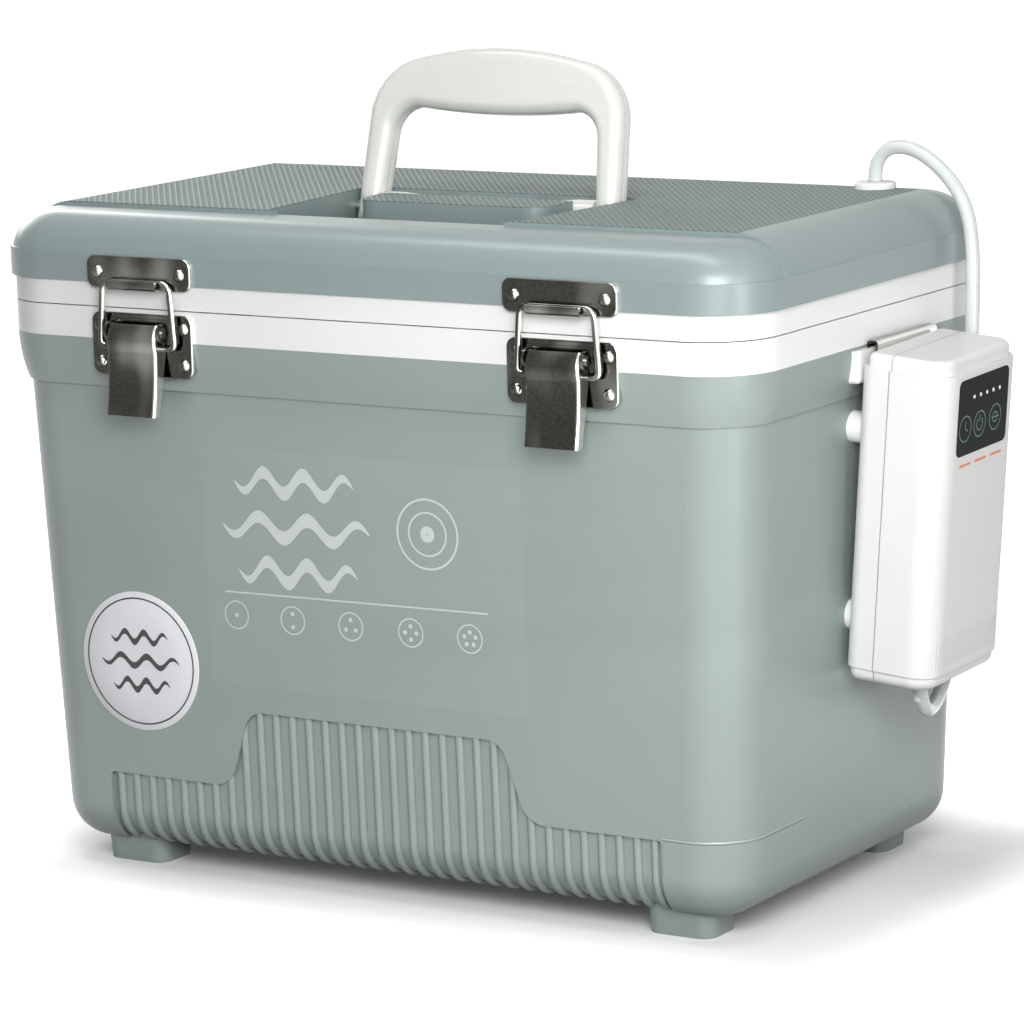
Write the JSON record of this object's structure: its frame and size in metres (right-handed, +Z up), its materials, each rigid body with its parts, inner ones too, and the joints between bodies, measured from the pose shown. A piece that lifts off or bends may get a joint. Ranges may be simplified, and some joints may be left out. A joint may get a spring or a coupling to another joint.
{
  "type": "aerated bait bucket",
  "caption": "Insulated hard-sided live-bait box with a hinged lid, draw latches, a folding handle and a clip-on air pump with hose and air stone.",
  "frame": {"origin": "on the floor, under the middle of the whole outline", "axes": "+Z up, the latched front faces -Y, the air pump hangs on the +X side"},
  "size_m": [0.4127, 0.2422, 0.3479],
  "materials": {
    "shell": "pearl grey-green, satin gloss",
    "liner": "white, satin",
    "foam": "rigid foam",
    "seal": "soft grey rubber",
    "handle": "white, satin",
    "pump": "white, satin",
    "panel": "black, glossy",
    "leds": "milky lenses",
    "steel": "polished stainless steel",
    "rod": "brushed",
    "board": "green circuit board",
    "battery": "shrink-wrapped cells",
    "rubber": "white soft rubber",
    "hose": "milky silicone",
    "stone": "grainy mineral"
  },
  "bodies": {
    "tub": {"tub_shell": "shell", "tub_foam": "foam", "tub_liner": "liner", "left_latch_base": "steel", "right_latch_base": "steel", "latch_base_screws": "steel", "latch_lever_pins": "steel", "left_hinge_tub_leaf": "steel", "right_hinge_tub_leaf": "steel", "hinge_pins": "steel", "hinge_tub_screws": "steel", "pump_bracket": "liner", "pump_clip": "steel", "pump_front_shell": "pump", "pump_back_shell": "pump", "pump_top_cap": "pump", "pump_bottom_cap": "pump", "pump_panel": "panel", "pump_leds": "leds", "pump_bumpers": "rubber", "pump_circuit_board": "board", "pump_battery": "battery", "pump_motor": "rod", "hose_barb": "pump", "hose_lower": "hose", "inner_hose": "hose", "air_stone": "stone"},
    "lid": {"lid_shell": "shell", "lid_foam": "foam", "lid_liner": "liner", "lid_seal": "seal", "hose_grommet": "rubber", "left_latch_keeper": "steel", "right_latch_keeper": "steel", "keeper_screws": "steel", "left_hinge_lid_leaf": "steel", "right_hinge_lid_leaf": "steel", "hinge_lid_screws": "steel", "handle_rod": "rod", "hose_upper": "hose"},
    "handle": {"handle_front_shell": "handle", "handle_back_shell": "handle", "left_handle_sleeve": "handle", "right_handle_sleeve": "handle"},
    "left_lever": {"left_latch_lever": "steel"},
    "right_lever": {"right_latch_lever": "steel"},
    "left_bail": {"left_latch_bail": "steel"},
    "right_bail": {"right_latch_bail": "steel"}
  },
  "joints": [
    {"name": "lid_hinge", "type": "hinge", "parent": "tub", "child": "lid", "pos_m": [-0.02097, 0.11756, 0.24725], "axis": [-1, 0, 0], "range_deg": [0, 105]},
    {"name": "handle_fold", "type": "hinge", "parent": "lid", "child": "handle", "pos_m": [-0.02097, 0.00336, 0.2795], "axis": [1, 0, 0], "range_deg": [0, 102.5]},
    {"name": "left_latch", "type": "hinge", "parent": "tub", "child": "left_lever", "pos_m": [-0.12347, -0.11446, 0.23838], "axis": [-1, 0, 0], "range_deg": [0, 85]},
    {"name": "left_bail_swing", "type": "hinge", "parent": "left_lever", "child": "left_bail", "pos_m": [-0.12347, -0.11349, 0.23145], "axis": [-1, 0, 0], "range_deg": [-68, 0]},
    {"name": "right_latch", "type": "hinge", "parent": "tub", "child": "right_lever", "pos_m": [0.08153, -0.11446, 0.23838], "axis": [-1, 0, 0], "range_deg": [0, 85]},
    {"name": "right_bail_swing", "type": "hinge", "parent": "right_lever", "child": "right_bail", "pos_m": [0.08153, -0.11349, 0.23145], "axis": [-1, 0, 0], "range_deg": [-68, 0]}
  ],
  "couplings": [
    {"joint": "left_bail_swing", "follows": "left_latch", "ratio": -0.8},
    {"joint": "right_bail_swing", "follows": "right_latch", "ratio": -0.8}
  ]
}
